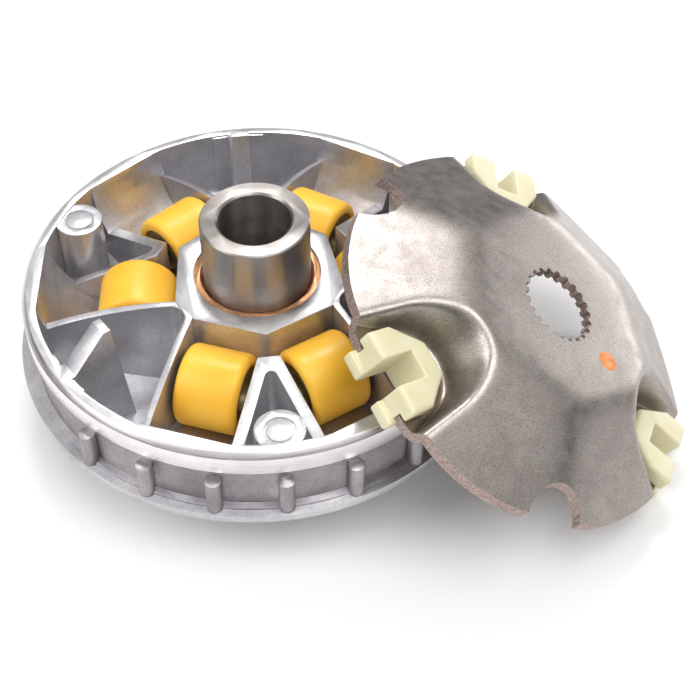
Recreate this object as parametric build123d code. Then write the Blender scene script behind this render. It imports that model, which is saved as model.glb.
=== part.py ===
from build123d import *
import os
from math import cos, radians, sin, sqrt, tan

# Scooter variator set, opened up: the movable drive face lies on its hub nose with its steel
# boss and six weight rollers in place, and the ramp plate leans beside it with its three
# nylon slide pieces on. Millimetres, +Z up, origin on the boss axis at table level.
# The three guide ribs stand at 90, 210 and 330 degrees, the three V bosses half way between.

GUIDES = (90, 210, 330)
VEES = (30, 150, 270)

# Drive face, outside.
NOSE_R, NOSE_LEN = 16.5, 7.0
SHEAVE_ANGLE = 14.5
FLANGE_R, FLANGE_EDGE = 54.45, 1.9
STEP_R, STEP_RISE = 52.7, 0.6
GROOVE_R = 51.1
BAND_Z, RIM_TOP, RIM_R, RIM_CHAMFER = 30.15, 35.7, 52.0, 1.1
FIN_GROUPS, FIN_STEP, FINS_EACH_SIDE = (90.4, 270.4), 16.3, 3
FIN_R, FIN_CENTRE_R, FIN_TOP = 1.7, 52.4, 27.7

# Drive face, inside.
FLOOR_WALL, BOWL_R, FLOOR_FILLET = 2.6, 49.0, 2.5
HUB_TOP = 35.85
ROLLER_ANGLE = 24          # each roller track runs this far round from its V boss
HUB_FLAT = 17.8            # hub wall behind a roller, from the axis
TRACK_IN, TRACK_OUT = 7.6, 8.9   # track walls, towards the V boss and towards the guide rib
VEE_WALL, GUIDE_WALL = 2.4, 1.4
ARC_R, ARC_X, ARC_Z = 20.8, 27.2, 37.5   # roller track: an arc seen from the side
VEE_NOSE_X, VEE_TOP, VEE_LOW, VEE_LOW_X = 24.0, 33.8, 23.7, 44.8
VEE_CORNER, GUIDE_CORNER = 1.5, 3.6
CREST_X, CREST_Z, CREST_END_Z = 33.0, 33.5, 24.9   # top of the thin track walls
PIN_X, PIN_R, PIN_TOP = 45.3, 5.3, 35.4
RIB_FOOT_X, RIB_TIP_X, RIB_TIP_END, RIB_TIP_Z = 35.3, 38.3, 40.0, 43.4
RIB_ROOT_X, RIB_WIDTH, RIB_TIP_WIDTH = 47.8, 4.6, 4.0
PAD_WIDTH, PAD_R = 12.5, 48.5

# Boss and its two bushes.
BOSS_R, BOSS_BORE, BOSS_LEN = 12.0, 8.0, 51.6
BUSH_SEAT, BUSH_GAP, BUSH_LEN = 14.2, 0.05, 14.0
SHOULDER_R, BUSH_INSET = 13.0, 0.35

# Rollers.
ROLLER_R, ROLLER_LEN, ROLLER_CHAMFER = 9.0, 14.0, 0.9
CORE_R, CORE_BORE, CORE_LEN = 6.4, 3.6, 12.8
ROLLER_X, ROLLER_Z = ARC_X, ARC_Z - ARC_R + ROLLER_R + 0.05
TRACK_SHIFT = (TRACK_OUT - TRACK_IN) / 2

# Ramp plate, in its own frame: origin in the middle of the hole on the outer face, +Z out.
PLATE_R, SHEET = 45.5, 2.2
FOLD_X, SKIRT_ANGLE = 22.7, 28.5
NOTCH_X, NOTCH_R = 45.7, 6.8
CHANNEL_Z, CHANNEL_HALF_ANGLE, CHANNEL_APEX_X, CHANNEL_APEX_R = -13.2, 17, 3.8, 10.0
CHANNEL_DRAFT = 10
VALLEY_FILLET = 1.2
SPLINE_TEETH, SPLINE_TIP_R, SPLINE_ROOT_R, SPLINE_GAP = 22, 8.2, 9.0, 1.25
PLATE_PLACE = (62.3, -24.1, 41.35)
LEAN_TOWARDS, LEAN, PLATE_TURN = -20.3, 33.3, -1.6

# Slide pieces, in the plate's frame, before turning to their channel.
SLIDE_TOP, SLIDE_BOTTOM = -9.3, -18.9
SLIDE_BACK_X, SLIDE_SHOULDER_X, SLIDE_FRONT_X, SLIDE_TOE_X = 32.4, 39.4, 45.4, 46.6
SLIDE_BACK_HALF, SLIDE_HALF, FOOT_HALF = 3.8, 9.3, 8.4
SLIDE_SLOT_X, SLIDE_SLOT_HALF = 37.2, 3.0
GROOVE_DEPTH, GROOVE_GAP, SLOT_GAP = 1.9, 0.1, 0.15

FAR = 70.0
os.makedirs("parts", exist_ok=True)


def cone_z(r):
    """Height of the belt face at radius r."""
    return NOSE_LEN + (r - NOSE_R) * tan(radians(SHEAVE_ANGLE))


def disc(radius, low, high):
    return Pos(0, 0, low) * Cylinder(radius, high - low, align=(Align.CENTER, Align.CENTER, Align.MIN))


def side_prism(points, low_y, high_y):
    """Outline in the radial (x, z) plane, drawn out between two sideways distances."""
    face = make_face(Plane.XZ * Polyline(*points, close=True))
    return Pos(0, high_y, 0) * extrude(face, high_y - low_y, dir=(0, -1, 0))


def plan_prism(points, low, high):
    face = make_face(Polyline(*points, close=True))
    return Pos(0, 0, low) * extrude(face, high - low, dir=(0, 0, 1))


def wedge_plan(half_angle, apex_x, corner=0.0):
    """V-shaped outline opening outwards along +X, with its inner corner rounded."""
    half = (FAR - apex_x) * tan(radians(half_angle))
    face = make_face(Polyline((apex_x, 0), (FAR, -half), (FAR, half), close=True))
    if corner:
        face = fillet(face.vertices().sort_by(Axis.X)[0], corner)
    return face


def spin(shape, angle):
    return Rot(0, 0, angle) * shape


def outer_shell():
    """The turned outside of the drive face with its floor and bare rim wall."""
    edge = cone_z(FLANGE_R)
    floor_out = cone_z(BOWL_R) + FLOOR_WALL
    outline = Polyline(
        (0, 0), (NOSE_R, 0), (NOSE_R, NOSE_LEN), (FLANGE_R, edge), (FLANGE_R, edge + FLANGE_EDGE),
        (STEP_R, edge + FLANGE_EDGE), (STEP_R, edge + FLANGE_EDGE + STEP_RISE),
        (GROOVE_R, edge + FLANGE_EDGE + STEP_RISE), (GROOVE_R, BAND_Z), (RIM_R, BAND_Z),
        (RIM_R, RIM_TOP - RIM_CHAMFER), (RIM_R - RIM_CHAMFER, RIM_TOP), (BOWL_R, RIM_TOP),
        (BOWL_R, floor_out), (NOSE_R, cone_z(NOSE_R) + FLOOR_WALL), (0, cone_z(NOSE_R) + FLOOR_WALL),
        close=True)
    face = make_face(Plane.XZ * outline)
    corner = face.vertices().sort_by_distance((BOWL_R, 0, floor_out))[0]
    return revolve(fillet(corner, FLOOR_FILLET), Axis.Z)


def inside_shell():
    """The space that the floor and the rim wall enclose, reaching a little way into both."""
    out_r = GROOVE_R - 0.6
    outline = Polyline((0, NOSE_LEN + 0.5), (NOSE_R, NOSE_LEN + 0.5), (out_r, cone_z(out_r) + 0.5), (out_r, FAR),
                       (0, FAR), close=True)
    return revolve(make_face(Plane.XZ * outline), Axis.Z)


def hub():
    corner_r = HUB_FLAT / cos(radians(ROLLER_ANGLE))
    side = 10.5
    side_r = HUB_FLAT / cos(radians(60 - side - ROLLER_ANGLE))
    corners = []
    for guide in GUIDES:
        corners += [(side_r, guide - side), (side_r, guide + side), (corner_r, guide + 60)]
    points = [(r * cos(radians(a)), r * sin(radians(a))) for r, a in corners]
    return plan_prism(points, NOSE_LEN, HUB_TOP)


def track_outline(inner_x, top, below):
    """Side outline above (or below) the roller track's arc, from the hub wall to the rim."""
    inner_z = ARC_Z - sqrt(ARC_R ** 2 - (inner_x - ARC_X) ** 2)
    rim_z = RIM_TOP if below else min(top, ARC_Z)
    rim_x = ARC_X + sqrt(ARC_R ** 2 - (ARC_Z - rim_z) ** 2)
    arc = ThreePointArc((inner_x, inner_z), (ARC_X, ARC_Z - ARC_R), (rim_x, rim_z))
    if below:
        out_x = GROOVE_R - 1.1
        rest = Polyline((rim_x, rim_z), (out_x, rim_z), (out_x, cone_z(out_x) + 0.5),
                        (inner_x, cone_z(inner_x) + 0.5), (inner_x, inner_z))
    else:
        rest = Polyline((rim_x, rim_z), (rim_x, top), (inner_x, top), (inner_x, inner_z))
    return make_face(Plane.XZ * (arc + rest))


def track_block(side):
    """Metal under one roller track; side is +1 or -1, the way round from the V boss."""
    low_y, high_y = sorted((side * -(TRACK_IN + VEE_WALL), side * (TRACK_OUT + GUIDE_WALL)))
    return Pos(0, high_y, 0) * extrude(track_outline(HUB_FLAT - 0.8, RIM_TOP, True), high_y - low_y, dir=(0, -1, 0))


def track_space(side):
    low_y, high_y = sorted((side * -TRACK_IN, side * TRACK_OUT))
    return Pos(0, high_y, 0) * extrude(track_outline(HUB_FLAT, RIM_TOP + 20, False), high_y - low_y, dir=(0, -1, 0))


def vee_boss():
    apex = TRACK_IN / sin(radians(ROLLER_ANGLE))
    plan = extrude(wedge_plan(ROLLER_ANGLE, apex), FAR, dir=(0, 0, 1))
    slope = (VEE_TOP - VEE_LOW) / (VEE_LOW_X - VEE_NOSE_X)
    out_x = GROOVE_R - 0.6
    profile = [(VEE_NOSE_X, NOSE_LEN + 2), (VEE_NOSE_X, VEE_TOP), (out_x, VEE_TOP - slope * (out_x - VEE_NOSE_X)),
               (out_x, cone_z(out_x) + 0.5)]
    return plan & side_prism(profile, -FAR / 2, FAR / 2) & disc(out_x, 0, FAR)


def guide_sector():
    """The two thin track walls either side of a guide rib, before the space is cut."""
    plan = extrude(wedge_plan(60 - ROLLER_ANGLE, TRACK_OUT / sin(radians(60 - ROLLER_ANGLE))), FAR,
                   dir=(0, 0, 1))
    out_x, base = GROOVE_R - 0.6, cone_z(NOSE_R) + 1
    crest = ThreePointArc((HUB_FLAT, HUB_TOP), (CREST_X, CREST_Z), (out_x, CREST_END_Z))
    rest = Polyline((out_x, CREST_END_Z), (out_x, base + 8), (HUB_FLAT, base), (HUB_FLAT, HUB_TOP))
    profile = make_face(Plane.XZ * (crest + rest))
    low = disc(out_x, 0, HUB_TOP)
    return plan & (Pos(0, FAR / 2, 0) * extrude(profile, FAR, dir=(0, -1, 0))) & low


def sector_space(half_angle, wall_from_axis, corner):
    plan = wedge_plan(half_angle, wall_from_axis / sin(radians(half_angle)), corner)
    return extrude(plan, FAR, dir=(0, 0, 1))


def track_walls():
    """The hub, the V bosses and the walls and ramps of the six roller tracks."""
    metal = hub()
    metal += [spin(vee_boss(), vee) for vee in VEES]
    metal += [spin(guide_sector(), guide) for guide in GUIDES]
    metal += [spin(track_block(side), vee + side * ROLLER_ANGLE) for vee in VEES for side in (1, -1)]
    vee_space = sector_space(ROLLER_ANGLE, TRACK_IN + VEE_WALL, VEE_CORNER)
    guide_space = sector_space(60 - ROLLER_ANGLE, TRACK_OUT + GUIDE_WALL, GUIDE_CORNER)
    metal -= [spin(vee_space, vee) for vee in VEES]
    metal -= [spin(guide_space, guide) for guide in GUIDES]
    return metal & inside_shell()


def guide_rib():
    base = cone_z(RIB_FOOT_X) + 0.5
    out_x = GROOVE_R - 0.8
    profile = [(RIB_FOOT_X, base), (RIB_TIP_X, RIB_TIP_Z), (RIB_TIP_END, RIB_TIP_Z), (RIB_ROOT_X, RIM_TOP),
               (out_x, RIM_TOP), (out_x, base + 4)]
    wide, tip = RIB_WIDTH / 2, RIB_TIP_WIDTH / 2
    plan = [(RIB_FOOT_X - 1, -tip), (BOWL_R, -wide), (out_x, -wide), (out_x, wide), (BOWL_R, wide),
            (RIB_FOOT_X - 1, tip)]
    return side_prism(profile, -wide, wide) & plan_prism(plan, 0, FAR)


def guide_pad():
    ring = disc(GROOVE_R - 0.6, cone_z(BOWL_R), RIM_TOP - 0.4) - disc(PAD_R, 0, FAR)
    return ring & Pos(BOWL_R, 0, 20) * Box(12, PAD_WIDTH, 60)


def ejector_pin_column():
    column = Pos(PIN_X, 0, 0) * disc(PIN_R, cone_z(PIN_X) + 0.5, PIN_TOP)
    mark = Pos(PIN_X, 0, PIN_TOP - 0.3) * (disc(3.3, 0, 1) - disc(2.9, 0, 1))
    return column - mark


def outer_fins():
    low = cone_z(FLANGE_R) + FLANGE_EDGE - 0.3
    fin = disc(FIN_R, low, FIN_TOP)
    steps = range(-FINS_EACH_SIDE, FINS_EACH_SIDE + 1)
    turns = [group + step * FIN_STEP for group in FIN_GROUPS for step in steps]
    return [spin(Pos(FIN_CENTRE_R, 0, 0) * fin, turn) for turn in turns]


def housing():
    body = outer_shell() + track_walls()
    body += [spin(ejector_pin_column(), vee) for vee in VEES]
    body += [spin(guide_pad(), guide) for guide in GUIDES]
    body += [spin(guide_rib(), guide) for guide in GUIDES]
    body += outer_fins()
    body -= [spin(track_space(side), vee + side * ROLLER_ANGLE) for vee in VEES for side in (1, -1)]
    body -= disc(SHOULDER_R, -1, FAR)
    shoulder = (BUSH_INSET + BUSH_LEN, HUB_TOP - BUSH_INSET - BUSH_LEN)
    body -= [disc(BUSH_SEAT, -1, shoulder[0]), disc(BUSH_SEAT, shoulder[1], FAR)]
    return body


def bush(low):
    ring = disc(BUSH_SEAT, low, low + BUSH_LEN) - disc(BOSS_R + BUSH_GAP, low - 1, low + BUSH_LEN + 1)
    lips = [e for e in ring.edges().filter_by(GeomType.CIRCLE) if abs(e.radius - BOSS_R - BUSH_GAP) < 0.01]
    return chamfer(lips, 0.7)


def boss():
    tube = disc(BOSS_R, 0, BOSS_LEN)
    tube = chamfer(tube.edges().filter_by(GeomType.CIRCLE), 0.35)
    bore = disc(BOSS_BORE, -1, BOSS_LEN + 1)
    tube -= bore
    rims = [e for e in tube.edges().filter_by(GeomType.CIRCLE) if abs(e.radius - BOSS_BORE) < 0.01]
    return chamfer(ShapeList(rims).sort_by(Axis.Z)[-1], 0.5)


def roller_place(vee, side):
    """Where a roller lies: at the bottom of its track, with its axle across the track."""
    turn = Rot(0, 0, vee + side * ROLLER_ANGLE)
    return turn * Pos(ROLLER_X, side * TRACK_SHIFT, ROLLER_Z) * Rot(90, 0, 0)


def roller_sleeve():
    sleeve = Cylinder(ROLLER_R, ROLLER_LEN)
    sleeve = chamfer(sleeve.edges().filter_by(GeomType.CIRCLE), ROLLER_CHAMFER)
    return sleeve - Cylinder(CORE_R, ROLLER_LEN + 2)


def roller_weight():
    return Cylinder(CORE_R, CORE_LEN) - Cylinder(CORE_BORE, CORE_LEN + 2)


def channel_tool(depth):
    """Space pressed down into the plate for one slide piece; depth lowers the whole form."""
    draft = radians(CHANNEL_DRAFT)
    grow = depth * (1 - sin(draft)) / cos(draft)
    apex_x = CHANNEL_APEX_X - grow / sin(radians(CHANNEL_HALF_ANGLE))
    plan = wedge_plan(CHANNEL_HALF_ANGLE, apex_x, CHANNEL_APEX_R + grow)
    tool = Pos(0, 0, CHANNEL_Z - depth) * extrude(plan, 24, taper=-CHANNEL_DRAFT)
    return fillet(tool.edges().group_by(Axis.Z)[0], VALLEY_FILLET + depth)


def plate_form(depth):
    """Solid whose top is the plate's outer face lowered squarely by depth."""
    slope = tan(radians(SKIRT_ANGLE))
    start = -depth / cos(radians(SKIRT_ANGLE))
    near, far = FOLD_X - 8, FAR
    above_skirt = [(near, start + 8 * slope), (far, start - (far - FOLD_X) * slope), (far, FAR), (near, FAR)]
    form = disc(PLATE_R, -40 - depth, -depth)
    for guide in GUIDES:
        for side in (1, -1):
            form -= spin(side_prism(above_skirt, -FAR, FAR), guide + side * (60 - ROLLER_ANGLE))
    form -= [spin(channel_tool(depth), guide) for guide in GUIDES]
    return form


def slide_plan(back_x, back_half, shoulder_x, half, front_x):
    return [(back_x, -back_half), (shoulder_x, -half), (front_x, -half), (front_x, half), (shoulder_x, half),
            (back_x, back_half)]


def slide_core_plan(gap):
    """Outline of the slide piece at the bottom of its groove, grown by gap."""
    return slide_plan(SLIDE_BACK_X + GROOVE_DEPTH - gap, SLIDE_BACK_HALF - 0.8 + gap, SLIDE_SHOULDER_X - gap,
                      SLIDE_HALF - GROOVE_DEPTH + gap, FAR)


def spline_hole():
    hole = disc(SPLINE_TIP_R, -10, 10)
    depth = SPLINE_ROOT_R - SPLINE_TIP_R + 0.5
    gap = Pos(SPLINE_ROOT_R - depth / 2, 0, 0) * Box(depth, SPLINE_GAP, 20)
    return [hole] + [spin(gap, i * 360 / SPLINE_TEETH) for i in range(SPLINE_TEETH)]


def ramp_plate():
    plate = plate_form(0) - plate_form(SHEET)
    plate -= spline_hole()
    notch = Pos(NOTCH_X, 0, -FAR / 2) * disc(NOTCH_R, 0, FAR)
    plate -= [spin(notch, vee) for vee in VEES]
    slot = plan_prism(slide_core_plan(SLOT_GAP), -25, -5)
    plate -= [spin(slot, guide) for guide in GUIDES]
    return plate


def slide_piece():
    groove_top, groove_low = CHANNEL_Z + GROOVE_GAP, CHANNEL_Z - SHEET - GROOVE_GAP
    outline = (SLIDE_BACK_X, SLIDE_BACK_HALF, SLIDE_SHOULDER_X)
    piece = plan_prism(slide_plan(*outline, SLIDE_HALF, SLIDE_FRONT_X), groove_low, SLIDE_TOP)
    piece = chamfer(piece.faces().sort_by(Axis.Z)[-1].edges(), 0.6)
    foot = plan_prism(slide_plan(*outline, FOOT_HALF, SLIDE_TOE_X), SLIDE_BOTTOM, groove_low)
    piece += chamfer(foot.faces().sort_by(Axis.Z)[0].edges(), 0.8)
    ring = plan_prism(slide_plan(SLIDE_BACK_X - 2, 12, SLIDE_BACK_X, 12, FAR), groove_low, groove_top)
    piece -= ring - plan_prism(slide_core_plan(0), groove_low - 1, groove_top + 1)
    slot = Pos(SLIDE_SLOT_X + 10, 0, -15) * Box(20, 2 * SLIDE_SLOT_HALF, 40)
    return piece - slot


def write(name, shape):
    solids = shape.solids()
    assert len(solids) == 1, f"{name} has {len(solids)} solids"
    solid = solids[0]
    solid.label = name
    export_step(solid, f"parts/{name}.step")


write("housing", housing())
write("lower_bush", bush(BUSH_INSET))
write("upper_bush", bush(HUB_TOP - BUSH_INSET - BUSH_LEN))
write("boss", boss())
number = 0
for vee in VEES:
    for side in (-1, 1):
        number += 1
        place = roller_place(vee, side)
        write(f"roller_sleeve_{number}", place * roller_sleeve())
        write(f"roller_weight_{number}", place * roller_weight())

leaning = (Pos(*PLATE_PLACE) * Rot(0, 0, LEAN_TOWARDS) * Rot(0, LEAN, 0)
           * Rot(0, 0, PLATE_TURN - LEAN_TOWARDS))
write("ramp_plate", leaning * ramp_plate())
for number, guide in enumerate(GUIDES, 1):
    write(f"slide_piece_{number}", leaning * Rot(0, 0, guide) * slide_piece())
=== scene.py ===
from math import cos, exp, hypot, log, pi, radians, sin, tan

import bmesh
import bpy
from mathutils import Matrix, Vector, noise

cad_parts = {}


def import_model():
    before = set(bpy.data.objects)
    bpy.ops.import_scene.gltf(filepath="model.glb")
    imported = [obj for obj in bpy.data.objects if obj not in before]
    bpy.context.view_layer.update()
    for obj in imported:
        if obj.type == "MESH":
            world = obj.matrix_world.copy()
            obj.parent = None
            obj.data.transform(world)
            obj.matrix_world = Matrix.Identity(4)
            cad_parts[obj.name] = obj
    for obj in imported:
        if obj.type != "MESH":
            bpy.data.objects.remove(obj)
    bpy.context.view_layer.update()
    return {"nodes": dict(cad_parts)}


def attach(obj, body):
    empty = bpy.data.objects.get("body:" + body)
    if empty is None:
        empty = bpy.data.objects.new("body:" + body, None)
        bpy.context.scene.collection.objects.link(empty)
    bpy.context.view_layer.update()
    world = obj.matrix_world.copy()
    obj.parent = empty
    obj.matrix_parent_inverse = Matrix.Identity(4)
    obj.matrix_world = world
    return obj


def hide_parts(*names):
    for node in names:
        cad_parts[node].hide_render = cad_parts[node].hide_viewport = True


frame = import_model()
NODES = frame["nodes"]
MM = 0.001


# ---- Ramp plate sizes, in millimetres and degrees ---------------------------------------

PLATE_PLACE = Vector((62.3, -24.1, 41.35))
LEAN_TOWARDS, LEAN, PLATE_TURN = -20.3, 33.3, -1.6
PLATE_R, SHEET, FOLD_X, SKIRT_ANGLE = 45.5, 2.2, 22.7, 28.5
CHANNELS, NOTCHES, FACETS = (90, 210, 330), (30, 150, 270), (54, 126, 174, 246, 294, 6)
CHANNEL_Z, CHANNEL_HALF_ANGLE, CHANNEL_APEX_X, CHANNEL_APEX_R = -13.2, 17, 3.8, 10.0
CHANNEL_DRAFT = 10
NOTCH_X, NOTCH_R = 45.7, 6.8
SPLINE_TEETH, SPLINE_TIP_R, SPLINE_ROOT_R, SPLINE_GAP = 22, 8.2, 9.0, 1.25
SLOT_OUTLINE = ((34.15, 3.15), (39.25, 7.55), (60.0, 7.55))   # half of the slot for a slide piece
FOLD_SOFTNESS, CREST_SOFTNESS, VALLEY_SOFTNESS = 1.5, 2.8, 0.35
ROUND_STEPS, OUT_STEPS = 432, 84        # mesh of the sheet, round it and outwards
HOLE_SPARE, RIM_SPARE = 0.6, 2.2        # sheet left to be cut away inside and outside
EXP_LIMIT, HEIGHT_LIMIT = 60, 30        # keep the soft joins inside what exp can hold
TOOL_LOW, TOOL_HIGH = -45.0, 15.0       # reach of the cutting tools along the plate axis


def plate_matrix():
    """From the plate's own millimetres to its leaning place, in metres."""
    turn = Matrix.Rotation(radians(LEAN_TOWARDS), 4, "Z") @ Matrix.Rotation(radians(LEAN), 4, "Y")
    turn = turn @ Matrix.Rotation(radians(PLATE_TURN - LEAN_TOWARDS), 4, "Z")
    return Matrix.Scale(MM, 4) @ Matrix.Translation(PLATE_PLACE) @ turn


# ---- Shader helpers --------------------------------------------------------------------

class Shader:
    """One node material, built up by small calls. Lengths are in millimetres."""

    def __init__(self, name):
        self.mat = bpy.data.materials.new(name)
        self.mat.use_nodes = True
        self.tree = self.mat.node_tree
        self.bsdf = self.tree.nodes["Principled BSDF"]
        coords = self.node("ShaderNodeTexCoord").outputs["Object"]
        self.place = self.vmath("SCALE", coords, scale=1 / MM)

    def node(self, kind, **props):
        made = self.tree.nodes.new(kind)
        for key, value in props.items():
            setattr(made, key, value)
        return made

    def put(self, socket, value):
        if isinstance(value, bpy.types.NodeSocket):
            self.tree.links.new(value, socket)
        else:
            socket.default_value = value

    def set(self, **values):
        for key, value in values.items():
            self.put(self.bsdf.inputs[key.replace("_", " ")], value)

    def math(self, operation, a, b=0.0):
        made = self.node("ShaderNodeMath", operation=operation)
        self.put(made.inputs[0], a)
        self.put(made.inputs[1], b)
        return made.outputs[0]

    def vmath(self, operation, a, b=None, scale=None):
        made = self.node("ShaderNodeVectorMath", operation=operation)
        self.put(made.inputs[0], a)
        if b is not None:
            self.put(made.inputs[1], b)
        if scale is not None:
            self.put(made.inputs["Scale"], scale)
        return made.outputs["Value" if operation in ("LENGTH", "DOT_PRODUCT") else "Vector"]

    def grain(self, size, where=None, detail=3.0, rough=0.55, seed=0.0):
        """Noise from 0 to 1 whose lumps are about size millimetres across."""
        made = self.node("ShaderNodeTexNoise")
        moved = self.vmath("ADD", where or self.place, (seed, seed * 1.7, seed * 0.3))
        self.put(made.inputs["Vector"], moved)
        for key, value in (("Scale", 0.5 / size), ("Detail", detail), ("Roughness", rough)):
            made.inputs[key].default_value = value
        return made.outputs["Fac"]

    def steps(self, value, *stops):
        """Colour ramp; each stop is (position, grey or RGB)."""
        made = self.node("ShaderNodeValToRGB")
        ramp = made.color_ramp
        while len(ramp.elements) < len(stops):
            ramp.elements.new(0.5)
        for element, (position, colour) in zip(ramp.elements, stops):
            element.position = position
            rgb = (colour,) * 3 if isinstance(colour, (int, float)) else colour
            element.color = (*rgb, 1)
        self.put(made.inputs["Fac"], value)
        return made.outputs["Color"]

    def mix(self, share, a, b, blend="MIX"):
        made = self.node("ShaderNodeMix", data_type="RGBA", blend_type=blend)
        self.put(made.inputs[0], share)
        for socket, value in ((made.inputs[6], a), (made.inputs[7], b)):
            self.put(socket, value if isinstance(value, bpy.types.NodeSocket) else (*value, 1))
        return made.outputs[2]

    def relief(self, *layers):
        """Bump from (height, depth in millimetres) layers, one on the other."""
        normal = None
        for height, depth in layers:
            made = self.node("ShaderNodeBump")
            made.inputs["Distance"].default_value = depth * MM
            self.put(made.inputs["Height"], height)
            if normal:
                self.put(made.inputs["Normal"], normal)
            normal = made.outputs["Normal"]
        self.set(Normal=normal)

    def turned(self):
        """Coordinates (radius, angle, height) about the Z axis, for lathe marks."""
        parts = self.node("ShaderNodeSeparateXYZ")
        self.put(parts.inputs[0], self.place)
        x, y, z = parts.outputs
        squares = self.math("ADD", self.math("MULTIPLY", x, x), self.math("MULTIPLY", y, y))
        radius = self.math("POWER", squares, 0.5)
        angle = self.math("ARCTAN2", y, x)
        made = self.node("ShaderNodeCombineXYZ")
        for socket, value in zip(made.inputs, (radius, self.math("MULTIPLY", angle, 1.5), z)):
            self.put(socket, value)
        return made.outputs[0]


# ---- Materials -------------------------------------------------------------------------

FLOOR_FADE = 0.5    # brings heights just above a channel floor inside the ramp's 0 to 1

def cast_aluminium():
    """Die-cast skin: slightly wavy, finely pitted, with darker and warmer flow marks."""
    s = Shader("cast_aluminium")
    flow = s.grain(9, detail=4, rough=0.6)
    speck = s.grain(0.35, detail=2, seed=7)
    base = s.steps(flow, (0.3, (0.44, 0.43, 0.455)), (0.52, (0.61, 0.60, 0.625)),
                   (0.75, (0.76, 0.75, 0.765)))
    base = s.mix(0.45, base, s.steps(speck, (0.3, 0.68), (0.6, 1.0)), "MULTIPLY")
    s.set(Base_Color=base, Metallic=0.86,
          Roughness=s.steps(s.grain(2.5, seed=3), (0.3, 0.34), (0.7, 0.5)))
    s.relief((s.grain(5.5, detail=2, seed=11), 0.3), (s.grain(0.4, detail=3, seed=5), 0.016))
    return s.mat


def painted_shade_cast_wall():
    """The as-cast wall between the fins: a darker copy of the casting, its darkness painted shade of the
    recess under the band, and duller than the inside.
    """
    s = Shader("painted_shade_cast_wall")
    cloud = s.grain(6, detail=4, rough=0.6, seed=12)
    # Painted shade: the same cast aluminium made darker for the recessed wall between the fins and under the
    # band.
    base = s.steps(cloud, (0.3, (0.27, 0.25, 0.27)), (0.52, (0.37, 0.345, 0.365)),
                   (0.75, (0.50, 0.475, 0.49)))
    base = s.mix(0.5, base, s.steps(s.grain(0.3, seed=7), (0.3, 0.6), (0.6, 1.0)), "MULTIPLY")
    s.set(Base_Color=base, Metallic=0.8,
          Roughness=s.steps(s.grain(1.6, seed=3), (0.3, 0.36), (0.7, 0.52)))
    s.relief((s.grain(4, detail=2, seed=11), 0.25), (s.grain(0.4, detail=3, seed=5), 0.02))
    return s.mat


def machined_aluminium():
    """Faced surfaces: hub top, rim top and the tops of the V walls, with tool arcs."""
    s = Shader("machined_aluminium")
    arcs = s.grain(0.16, where=s.turned(), detail=2)
    cloud = s.grain(4, detail=4, seed=2)
    base = s.steps(cloud, (0.3, (0.58, 0.58, 0.59)), (0.7, (0.76, 0.755, 0.76)))
    base = s.mix(0.35, base, s.steps(arcs, (0.35, 0.6), (0.6, 1.0)), "MULTIPLY")
    s.set(Base_Color=base, Metallic=1.0,
          Roughness=s.steps(s.grain(1.1, seed=4), (0.3, 0.3), (0.7, 0.44)))
    s.relief((arcs, 0.012), (s.grain(0.5, detail=3, seed=9), 0.006))
    return s.mat


def turned_band():
    """The fine-turned band round the rim, a touch warmer than the casting."""
    s = Shader("turned_band")
    lines = s.grain(0.12, where=s.turned(), detail=2)
    base = s.steps(s.grain(6, detail=3), (0.3, (0.74, 0.70, 0.71)), (0.7, (0.90, 0.86, 0.87)))
    base = s.mix(0.3, base, s.steps(lines, (0.3, 0.65), (0.6, 1.0)), "MULTIPLY")
    s.set(Base_Color=base, Metallic=1.0,
          Roughness=s.steps(lines, (0.3, 0.24), (0.7, 0.36)))
    s.relief((lines, 0.008))
    return s.mat


def boss_steel():
    """Ground and faced steel with fine lathe rings and a soft sheen round the axis."""
    s = Shader("boss_steel")
    rings = s.grain(0.13, where=s.turned(), detail=2)
    streak = s.grain(2.2, where=s.vmath("MULTIPLY", s.turned(), (0.1, 6.0, 0.02)), detail=2, seed=3)
    base = s.steps(streak, (0.3, (0.31, 0.285, 0.27)), (0.7, (0.47, 0.435, 0.41)))
    base = s.mix(0.3, base, s.steps(rings, (0.3, 0.6), (0.62, 1.0)), "MULTIPLY")
    s.set(Base_Color=base, Metallic=1.0,
          Roughness=s.steps(s.grain(2.5, seed=8), (0.3, 0.32), (0.7, 0.40)),
          Anisotropic=0.85, Anisotropic_Rotation=0.25)
    around = s.node("ShaderNodeTangent", direction_type="RADIAL", axis="Z")
    s.set(Tangent=around.outputs[0])
    s.relief((rings, 0.006))
    return s.mat


def bush_bronze():
    s = Shader("bush_bronze")
    rings = s.grain(0.18, where=s.turned(), detail=2)
    base = s.steps(rings, (0.3, (0.36, 0.17, 0.085)), (0.55, (0.62, 0.33, 0.17)), (0.75, (0.80, 0.50, 0.30)))
    s.set(Base_Color=base, Metallic=1.0, Roughness=s.steps(s.grain(0.9), (0.3, 0.25), (0.7, 0.45)))
    s.relief((rings, 0.02))
    return s.mat


def roller_nylon():
    """Yellow-orange nylon, satin, with faint scuffs and a little light under the skin."""
    s = Shader("roller_nylon")
    cloud = s.grain(6, detail=3)
    base = s.steps(cloud, (0.25, (0.92, 0.46, 0.028)), (0.55, (0.97, 0.535, 0.045)),
                   (0.8, (0.99, 0.58, 0.07)))
    scuff = s.steps(s.grain(0.7, detail=4, rough=0.7, seed=4), (0.66, 0.0), (0.8, 1.0))
    base = s.mix(s.math("MULTIPLY", scuff, 0.25), base, (0.95, 0.62, 0.2))
    s.set(Base_Color=base, Roughness=s.steps(s.grain(1.2, seed=6), (0.3, 0.3), (0.7, 0.46)),
          Subsurface_Weight=0.12, Subsurface_Scale=0.002, Subsurface_Radius=(1.0, 0.45, 0.12))
    s.relief((s.grain(0.3, detail=3, seed=2), 0.008), (s.grain(3, seed=1), 0.03))
    return s.mat


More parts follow.
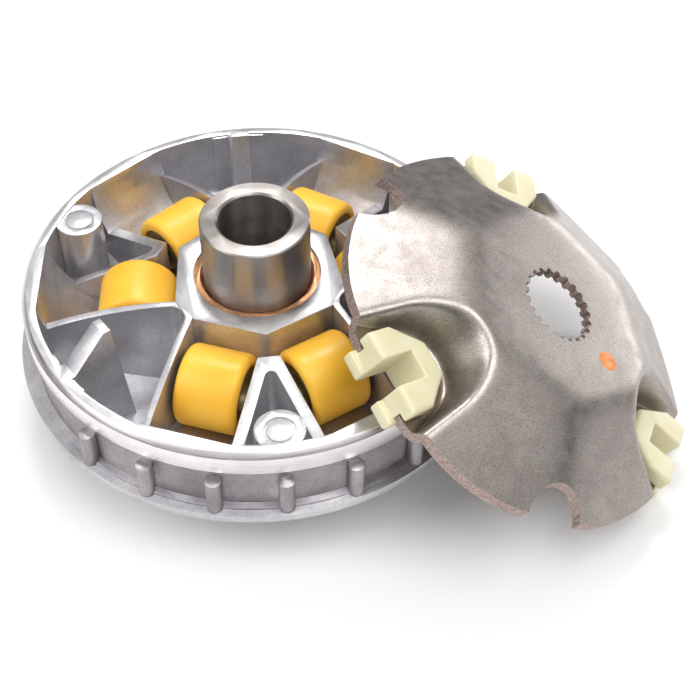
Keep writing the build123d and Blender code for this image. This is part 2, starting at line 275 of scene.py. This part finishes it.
def weight_brass():
    s = Shader("weight_brass")
    base = s.steps(s.grain(1.5), (0.3, (0.36, 0.27, 0.12)), (0.7, (0.58, 0.45, 0.22)))
    s.set(Base_Color=base, Metallic=1.0, Roughness=s.steps(s.grain(0.5), (0.3, 0.35), (0.7, 0.5)))
    s.relief((s.grain(0.2, detail=3), 0.015))
    return s.mat


def slide_nylon():
    """Cream nylon with a waxy, slightly see-through body and moulding haze."""
    s = Shader("slide_nylon")
    base = s.steps(s.grain(3.5, detail=3), (0.3, (0.70, 0.655, 0.41)), (0.6, (0.76, 0.72, 0.50)),
                   (0.8, (0.82, 0.79, 0.61)))
    s.set(Base_Color=base, Roughness=s.steps(s.grain(0.8, seed=3), (0.3, 0.34), (0.7, 0.5)),
          Subsurface_Weight=0.2, Subsurface_Scale=0.002, Subsurface_Radius=(1.0, 0.85, 0.35))
    s.relief((s.grain(0.35, detail=3, seed=5), 0.012), (s.grain(2.2, seed=8), 0.04))
    return s.mat


def plate_steel():
    """Stamped steel face: brown-grey, finely speckled, with sooty patches.

    The channel floors are darker and browner, and a thin painted highlight runs round the edge of each of
    them."""
    s = Shader("plate_steel")
    cloud = s.grain(9, detail=4, rough=0.6, seed=5)
    speck = s.grain(0.15, detail=3, rough=0.7)
    base = s.steps(cloud, (0.32, (0.36, 0.32, 0.30)), (0.5, (0.41, 0.37, 0.345)), (0.72, (0.46, 0.42, 0.395)))
    base = s.mix(0.75, base, s.steps(speck, (0.36, 0.5), (0.5, 0.95), (0.64, 1.15)), "MULTIPLY")
    soot = s.steps(s.grain(5, detail=5, rough=0.7, seed=21), (0.62, 0.0), (0.8, 0.4))
    base = s.mix(soot, base, (0.12, 0.105, 0.105))
    axis = plate_matrix().to_3x3().col[2].normalized()
    height = s.vmath("DOT_PRODUCT", s.vmath("SUBTRACT", s.place, PLATE_PLACE), axis)
    above_floor = s.math("ADD", s.math("SUBTRACT", height, CHANNEL_Z), FLOOR_FADE)
    # The channel floors are made darker and browner here, chosen by height above the floor.
    darker_floor = s.steps(above_floor, (0.62, 0.8), (0.72, 0.0))
    base = s.mix(darker_floor, base, (0.20, 0.155, 0.095))
    # Painted highlight: a thin pale line along the edge of each channel floor, where the valley rounds up
    # into the wall.
    painted_highlight_line = s.steps(above_floor, (0.66, 0.0), (0.76, 0.6), (0.92, 0.6), (1.0, 0.0))
    base = s.mix(painted_highlight_line, base, (0.62, 0.57, 0.47))
    s.set(Base_Color=base, Metallic=0.92,
          Roughness=s.steps(s.grain(1.4, detail=4, seed=9), (0.3, 0.28), (0.7, 0.42)))
    s.relief((speck, 0.012), (s.grain(7, detail=2, seed=3), 0.1))
    return s.mat


def sheared_edge():
    """The plate's blanked edge: a pinkish, finely torn band."""
    s = Shader("sheared_edge")
    torn = s.grain(0.22, detail=5, rough=0.75, seed=2)
    base = s.steps(torn, (0.32, (0.12, 0.085, 0.08)), (0.5, (0.40, 0.305, 0.275)), (0.7, (0.66, 0.54, 0.495)))
    s.set(Base_Color=base, Metallic=0.75, Roughness=s.steps(torn, (0.3, 0.35), (0.7, 0.6)))
    s.relief((torn, 0.08))
    return s.mat


def orange_paint():
    s = Shader("orange_paint")
    base = s.steps(s.grain(0.8, detail=4), (0.3, (0.62, 0.20, 0.05)), (0.6, (0.86, 0.30, 0.08)),
                   (0.8, (0.95, 0.42, 0.15)))
    s.set(Base_Color=base, Roughness=0.45)
    s.relief((s.grain(0.4, detail=4, seed=6), 0.03))
    return s.mat


# ---- Mesh helpers ----------------------------------------------------------------------

def new_object(name, mesh):
    made = bpy.data.objects.new(name, mesh)
    bpy.context.scene.collection.objects.link(made)
    return made


def apply_modifiers(piece):
    graph = bpy.context.evaluated_depsgraph_get()
    mesh = bpy.data.meshes.new_from_object(piece.evaluated_get(graph))
    piece.modifiers.clear()
    piece.data = mesh


def softened(node, name, width, angle=32, segments=2):
    """A copy of a CAD node with flat faces merged and its edges rounded, standing for it."""
    weld, flat_within = 0.002 * MM, radians(0.6)
    bm = bmesh.new()
    bm.from_mesh(NODES[node].data)
    bmesh.ops.remove_doubles(bm, verts=bm.verts, dist=weld)
    bmesh.ops.dissolve_degenerate(bm, edges=bm.edges, dist=weld)
    bmesh.ops.dissolve_limit(bm, angle_limit=flat_within, verts=bm.verts, edges=bm.edges, delimit=set())
    mesh = bpy.data.meshes.new(name)
    bm.to_mesh(mesh)
    bm.free()
    piece = new_object(name, mesh)
    bevel = piece.modifiers.new("edges", "BEVEL")
    bevel.width, bevel.segments, bevel.limit_method = width * MM, segments, "ANGLE"
    bevel.angle_limit, bevel.use_clamp_overlap, bevel.harden_normals = radians(angle), True, False
    bevel.miter_outer = "MITER_SHARP"
    apply_modifiers(piece)
    smooth(piece)
    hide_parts(node)
    return piece


def smooth(piece, angle=38):
    for polygon in piece.data.polygons:
        polygon.use_smooth = True
    piece.data.set_sharp_from_angle(angle=radians(angle))


def dress(piece, *materials):
    piece.data.materials.clear()
    for material in materials:
        piece.data.materials.append(material)


# ---- Drive face ------------------------------------------------------------------------

CAST, FACED, BAND, OUTER_WALL = range(4)    # material slots of the drive face
FACING_UP, NEARLY_UP = 0.9, 0.75            # upward share of a normal
RIM_TOP, RIM_IN, HUB_TOP, HUB_REACH, FACING_DEPTH = 35.7, 48.5, 35.85, 24.0, 0.6
BAND_FROM_R, BAND_LOW, CHAMFER_DROP = 50.8, 30.2, 0.3
WALL_R, FLANGE_TOP, FIN_TOP, FIN_CAP = 50.9, 19.5, 27.7, 0.2
VEE_ANGLES, VEE_REACH = (30, 150, 270), (22, 53)
VEE_NOSE_X, VEE_TOP, VEE_SLOPE, VEE_MARGIN = 24.0, 33.8, 0.48554, 0.5


def on_vee_top(x, y, z):
    """Whether a point lies on the sloping top of one of the three V walls."""
    for angle in VEE_ANGLES:
        along = x * cos(radians(angle)) + y * sin(radians(angle))
        top = VEE_TOP - VEE_SLOPE * (along - VEE_NOSE_X)
        if along > VEE_REACH[0] and abs(z - top) < VEE_MARGIN:
            return True
    return False


def housing_finish(centre, normal):
    """Material slot of a face of the drive face, from where it is and where it looks."""
    x, y, z = (c / MM for c in centre)
    r = hypot(x, y)
    if normal.z > FACING_UP:
        if r < HUB_REACH and z > HUB_TOP - FACING_DEPTH:
            return FACED
        if r > RIM_IN and z > RIM_TOP - FACING_DEPTH:
            return FACED
    if r > BAND_FROM_R and z > BAND_LOW and (normal.z < FACING_UP or z < RIM_TOP - CHAMFER_DROP):
        return BAND
    if r > WALL_R and FLANGE_TOP < z < BAND_LOW:
        return FACED if normal.z > FACING_UP and z > FIN_TOP - FIN_CAP else OUTER_WALL
    if normal.z > NEARLY_UP and r < VEE_REACH[1] and on_vee_top(x, y, z):
        return FACED
    return CAST


def drive_face(*finishes):
    piece = softened("housing", "drive_face_casting", 0.26)
    dress(piece, *finishes)
    for polygon in piece.data.polygons:
        polygon.material_index = housing_finish(polygon.center, polygon.normal)
    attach(piece, "drive_face")
    return piece


# ---- Ramp plate ------------------------------------------------------------------------

def soft_max(values, softness):
    top = max(values)
    return top + softness * log(sum(exp((v - top) / softness) for v in values))


def fold_drop(x, y):
    """How far the six folded facets lie below the flat middle."""
    outs = [0.0] + [x * cos(radians(a)) + y * sin(radians(a)) - FOLD_X for a in FACETS]
    return soft_max(outs, FOLD_SOFTNESS) * tan(radians(SKIRT_ANGLE))


def channel_height(x, y, angle):
    """Height of the pressed channel: flat floor, steep sides spreading with height."""
    along = x * cos(radians(angle)) + y * sin(radians(angle))
    across = abs(y * cos(radians(angle)) - x * sin(radians(angle)))
    half = radians(CHANNEL_HALF_ANGLE)
    round_x = CHANNEL_APEX_X + CHANNEL_APEX_R / sin(half)
    beside = (along - round_x) * cos(half) + across * sin(half)
    if beside > 0:
        outside = across * cos(half) - (along - CHANNEL_APEX_X) * sin(half)
    else:
        outside = hypot(along - round_x, across) - CHANNEL_APEX_R
    rise = VALLEY_SOFTNESS * log(1 + exp(min(outside / VALLEY_SOFTNESS, EXP_LIMIT)))
    return CHANNEL_Z + rise / tan(radians(CHANNEL_DRAFT))


def plate_height(x, y):
    """Height of the stamped form: facets and channels, blended softly where they meet."""
    heights = [-fold_drop(x, y)] + [channel_height(x, y, angle) for angle in CHANNELS]
    return -soft_max([-min(h, HEIGHT_LIMIT) for h in heights], CREST_SOFTNESS)


def plate_point(i, j):
    """Place in plan of one vertex of the sheet."""
    inner, outer = SPLINE_TIP_R - HOLE_SPARE, PLATE_R + RIM_SPARE
    r = inner + (outer - inner) * j / OUT_STEPS
    a = 2 * pi * i / ROUND_STEPS
    return r * cos(a), r * sin(a)


def plate_sheet():
    """The whole stamped form as a closed sheet, before its hole and edges are cut."""
    bm = bmesh.new()
    step = 0.05     # for the slopes
    top, under = [], []
    for i in range(ROUND_STEPS):
        for j in range(OUT_STEPS + 1):
            x, y = plate_point(i, j)
            z = plate_height(x, y)
            slope_x = (plate_height(x + step, y) - plate_height(x - step, y)) / (2 * step)
            slope_y = (plate_height(x, y + step) - plate_height(x, y - step)) / (2 * step)
            normal = Vector((-slope_x, -slope_y, 1)).normalized()
            top.append(bm.verts.new((x, y, z)))
            under.append(bm.verts.new(Vector((x, y, z)) - normal * SHEET))
    row = OUT_STEPS + 1
    for i in range(ROUND_STEPS):
        k, n = i * row, (i + 1) % ROUND_STEPS * row
        for j in range(OUT_STEPS):
            bm.faces.new((top[k + j], top[k + j + 1], top[n + j + 1], top[n + j]))
            bm.faces.new((under[n + j], under[n + j + 1], under[k + j + 1], under[k + j]))
        bm.faces.new((top[k], top[n], under[n], under[k]))
        last = OUT_STEPS
        bm.faces.new((top[n + last], top[k + last], under[k + last], under[n + last]))
    bmesh.ops.recalc_face_normals(bm, faces=bm.faces)
    mesh = bpy.data.meshes.new("stamped_plate")
    bm.to_mesh(mesh)
    bm.free()
    return new_object("stamped_plate", mesh)


def prism(bm, outline):
    lower = [bm.verts.new((x, y, TOOL_LOW)) for x, y in outline]
    upper = [bm.verts.new((x, y, TOOL_HIGH)) for x, y in outline]
    bm.faces.new(lower[::-1])
    bm.faces.new(upper)
    for i in range(len(outline)):
        n = (i + 1) % len(outline)
        bm.faces.new((lower[i], lower[n], upper[n], upper[i]))


def turned_points(points, angle):
    c, s = cos(radians(angle)), sin(radians(angle))
    return [(x * c - y * s, x * s + y * c) for x, y in points]


def ring(bm, inner, outer, steps=720):
    """A closed ring that trims the sheet to its round outline."""
    loops = []
    for r, z in ((inner, TOOL_LOW), (outer, TOOL_LOW), (outer, TOOL_HIGH), (inner, TOOL_HIGH)):
        angles = [2 * pi * i / steps for i in range(steps)]
        loops.append([bm.verts.new((r * cos(a), r * sin(a), z)) for a in angles])
    for one, two in zip(loops, loops[1:] + loops[:1]):
        for i in range(steps):
            n = (i + 1) % steps
            bm.faces.new((one[n], one[i], two[i], two[n]))


def cutter(name, edge, outlines=(), trim=None):
    """A cutting tool of prisms, or of a ring given by its two radii; its cuts take edge."""
    bm = bmesh.new()
    for outline in outlines:
        prism(bm, outline)
    if trim:
        ring(bm, *trim)
    bmesh.ops.recalc_face_normals(bm, faces=bm.faces)
    mesh = bpy.data.meshes.new(name)
    bm.to_mesh(mesh)
    bm.free()
    made = new_object(name, mesh)
    dress(made, edge)
    return made


def spline_outline():
    half_gap = SPLINE_GAP / 2 / SPLINE_ROOT_R
    at_tip, at_root = half_gap * 1.2, half_gap * 0.8    # the gaps narrow towards their roots
    corners = ((SPLINE_TIP_R, -at_tip), (SPLINE_ROOT_R, -at_root),
               (SPLINE_ROOT_R, at_root), (SPLINE_TIP_R, at_tip))
    points = []
    for tooth in range(SPLINE_TEETH):
        middle = 2 * pi * tooth / SPLINE_TEETH
        points += [(r * cos(middle + a), r * sin(middle + a)) for r, a in corners]
    return points


def circle(cx, r, steps=96):
    return [(cx + r * cos(2 * pi * i / steps), r * sin(2 * pi * i / steps)) for i in range(steps)]


def slot_outline():
    half = list(SLOT_OUTLINE)
    return [(x, -y) for x, y in half] + [(x, y) for x, y in half[::-1]]


def cut(piece, tool):
    boolean = piece.modifiers.new("cut", "BOOLEAN")
    boolean.operation, boolean.object, boolean.solver = "DIFFERENCE", tool, "MANIFOLD"
    apply_modifiers(piece)
    bpy.data.objects.remove(tool)


def ramp_plate(face, edge):
    piece = plate_sheet()
    dress(piece, face, edge)
    cut(piece, cutter("rim_tool", edge, trim=(PLATE_R, PLATE_R + 8)))
    cut(piece, cutter("hole_tool", edge, [spline_outline()]))
    cut(piece, cutter("notch_tool", edge, [turned_points(circle(NOTCH_X, NOTCH_R), a) for a in NOTCHES]))
    cut(piece, cutter("slot_tool", edge, [turned_points(slot_outline(), a) for a in CHANNELS]))
    ease = piece.modifiers.new("burr", "BEVEL")
    ease.width, ease.segments, ease.limit_method, ease.angle_limit = 0.18, 2, "ANGLE", radians(50)
    apply_modifiers(piece)
    piece.data.transform(plate_matrix())
    smooth(piece, 35)
    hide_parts("ramp_plate")
    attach(piece, "ramp_plate")
    return piece


DOT_FROM_AXIS, DOT_ANGLE, DOT_HALF_X, DOT_HALF_Y, DOT_RAGGED = 16, 317, 2.5, 2.3, 0.06
DOT_PROFILE = ((1.0, -0.02), (0.93, 0.05), (0.6, 0.07))    # share of the size, height over the plate


def paint_dot(material):
    """A dab of marking paint on the flat middle of the plate."""
    bm = bmesh.new()
    steps = 72
    middle_x = DOT_FROM_AXIS * cos(radians(DOT_ANGLE))
    middle_y = DOT_FROM_AXIS * sin(radians(DOT_ANGLE))
    loops = []
    for share, height in DOT_PROFILE:
        loop = []
        for i in range(steps):
            a = 2 * pi * i / steps
            ragged = 1 + DOT_RAGGED * noise.noise(Vector((cos(a) * 2, sin(a) * 2, 3.1)))
            x = middle_x + DOT_HALF_X * share * ragged * cos(a)
            y = middle_y + DOT_HALF_Y * share * ragged * sin(a)
            loop.append(bm.verts.new((x, y, plate_height(x, y) + height)))
        loops.append(loop)
    for one, two in zip(loops, loops[1:]):
        for i in range(steps):
            n = (i + 1) % steps
            bm.faces.new((one[i], one[n], two[n], two[i]))
    bm.faces.new(loops[-1])
    bm.faces.new(loops[0][::-1])
    mesh = bpy.data.meshes.new("paint_dot")
    bm.to_mesh(mesh)
    bm.free()
    piece = new_object("paint_dot", mesh)
    piece.data.transform(plate_matrix())
    smooth(piece, 50)
    dress(piece, material)
    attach(piece, "ramp_plate")
    return piece


# ---- Rollers, boss, bushes, slide pieces -----------------------------------------------

def simple_piece(node, name, body, slot, width, angle=32, segments=2):
    """A CAD node with eased edges and the material of its slot, riding on its body."""
    piece = softened(node, name, width, angle, segments)
    dress(piece, MATERIALS[slot])
    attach(piece, body)


def simple_pieces():
    for n in range(1, 7):
        simple_piece(f"roller_sleeve_{n}", f"roller_{n}_sleeve", f"roller_{n}", "roller_nylon", 0.55, 25, 4)
        simple_piece(f"roller_weight_{n}", f"roller_{n}_weight", f"roller_{n}", "weight_brass", 0.3)
    for n in (1, 2, 3):
        simple_piece(f"slide_piece_{n}", f"slide_{n}", f"slide_piece_{n}", "slide_nylon", 0.55, segments=4)
    simple_piece("boss", "hub_boss", "boss", "boss_steel", 0.06)
    for node in ("lower_bush", "upper_bush"):
        simple_piece(node, f"{node}_ring", "drive_face", "bush_bronze", 0.08)


# ---- Stage, light and camera -----------------------------------------------------------

AIM = Vector((20, -10, 20)) * MM    # what the lights look at
LIGHTS = {      # name: direction from the object, distance, size in metres, watts
    "key": ((0.06, 0.56, 0.83), 0.9, (0.36, 0.13), 2.4),
    "side": ((-1.0, -0.15, 0.9), 1.0, (0.5, 0.5), 3.2),
    "top": ((0.2, -0.35, 1.0), 1.2, (0.8, 0.8), 6.5),
    "back_right": ((0.88, 0.47, 0.1), 0.8, (0.5, 0.2), 1.1),
}
SKY = ((0.0, 0.14), (0.32, 0.26), (0.58, 0.8), (0.75, 0.98), (1.0, 0.85))    # from below to overhead
CAMERA_PLACE, CAMERA_FORWARD = Vector((-12.95, -208.37, 240.85)), Vector((0.1087, 0.6602, -0.7432))
CAMERA_ROLL, LENS, SENSOR = -1.243, 67.17, 36.0


def floor():
    bm = bmesh.new()
    bmesh.ops.create_grid(bm, x_segments=8, y_segments=8, size=3.0)
    mesh = bpy.data.meshes.new("floor")
    bm.to_mesh(mesh)
    bm.free()
    made = new_object("floor", mesh)
    s = Shader("floor_white")
    s.set(Base_Color=s.steps(s.grain(60), (0.3, 0.9), (0.7, 0.93)), Roughness=0.9)
    dress(made, s.mat)


def area_light(name, towards, distance, size, power):
    light = bpy.data.lights.new(name, "AREA")
    light.shape, light.energy = "RECTANGLE", power
    light.size, light.size_y = size
    made = bpy.data.objects.new(name, light)
    bpy.context.scene.collection.objects.link(made)
    direction = Vector(towards).normalized()
    made.location = AIM + direction * distance
    made.rotation_euler = direction.to_track_quat("Z", "Y").to_euler()


def world():
    """Soft studio room: pale overhead, darker towards the horizon and below it."""
    made = bpy.data.worlds.new("studio")
    made.use_nodes = True
    tree = made.node_tree
    tree.nodes.clear()
    coords = tree.nodes.new("ShaderNodeTexCoord")
    parts = tree.nodes.new("ShaderNodeSeparateXYZ")
    ramp = tree.nodes.new("ShaderNodeValToRGB")
    back = tree.nodes.new("ShaderNodeBackground")
    out = tree.nodes.new("ShaderNodeOutputWorld")
    while len(ramp.color_ramp.elements) < len(SKY):
        ramp.color_ramp.elements.new(0.5)
    for element, (position, grey) in zip(ramp.color_ramp.elements, SKY):
        element.position, element.color = position, (grey, grey * 0.985, grey * 0.975, 1)
    tree.links.new(coords.outputs["Generated"], parts.inputs[0])
    tree.links.new(parts.outputs["Z"], ramp.inputs["Fac"])
    tree.links.new(ramp.outputs["Color"], back.inputs["Color"])
    back.inputs["Strength"].default_value = 0.8
    tree.links.new(back.outputs[0], out.inputs[0])
    bpy.context.scene.world = made


def camera():
    data = bpy.data.cameras.new("camera")
    data.lens, data.sensor_width, data.sensor_fit = LENS, SENSOR, "HORIZONTAL"
    data.clip_start, data.clip_end = 0.01, 10.0
    made = bpy.data.objects.new("camera", data)
    bpy.context.scene.collection.objects.link(made)
    forward = CAMERA_FORWARD.normalized()
    level = forward.cross(Vector((0, 0, 1))).normalized()
    roll = Matrix.Rotation(radians(CAMERA_ROLL), 3, forward)
    right = roll @ level
    up = right.cross(forward)
    turn = Matrix((right, up, -forward)).transposed().to_4x4()
    made.matrix_world = Matrix.Translation(CAMERA_PLACE * MM) @ turn
    bpy.context.scene.camera = made


# ---- The scene -------------------------------------------------------------------------

MATERIALS = {make.__name__: make() for make in (
    cast_aluminium, painted_shade_cast_wall, machined_aluminium, turned_band, boss_steel, bush_bronze,
    roller_nylon, weight_brass, slide_nylon, plate_steel, sheared_edge, orange_paint)}
DRIVE_FACE_FINISHES = ("cast_aluminium", "machined_aluminium", "turned_band", "painted_shade_cast_wall")

drive_face(*(MATERIALS[name] for name in DRIVE_FACE_FINISHES))
simple_pieces()
ramp_plate(MATERIALS["plate_steel"], MATERIALS["sheared_edge"])
paint_dot(MATERIALS["orange_paint"])

floor()
world()
for name, (towards, distance, size, power) in LIGHTS.items():
    area_light(name, towards, distance, size, power)
camera()
bpy.context.scene.view_settings.view_transform = "Standard"
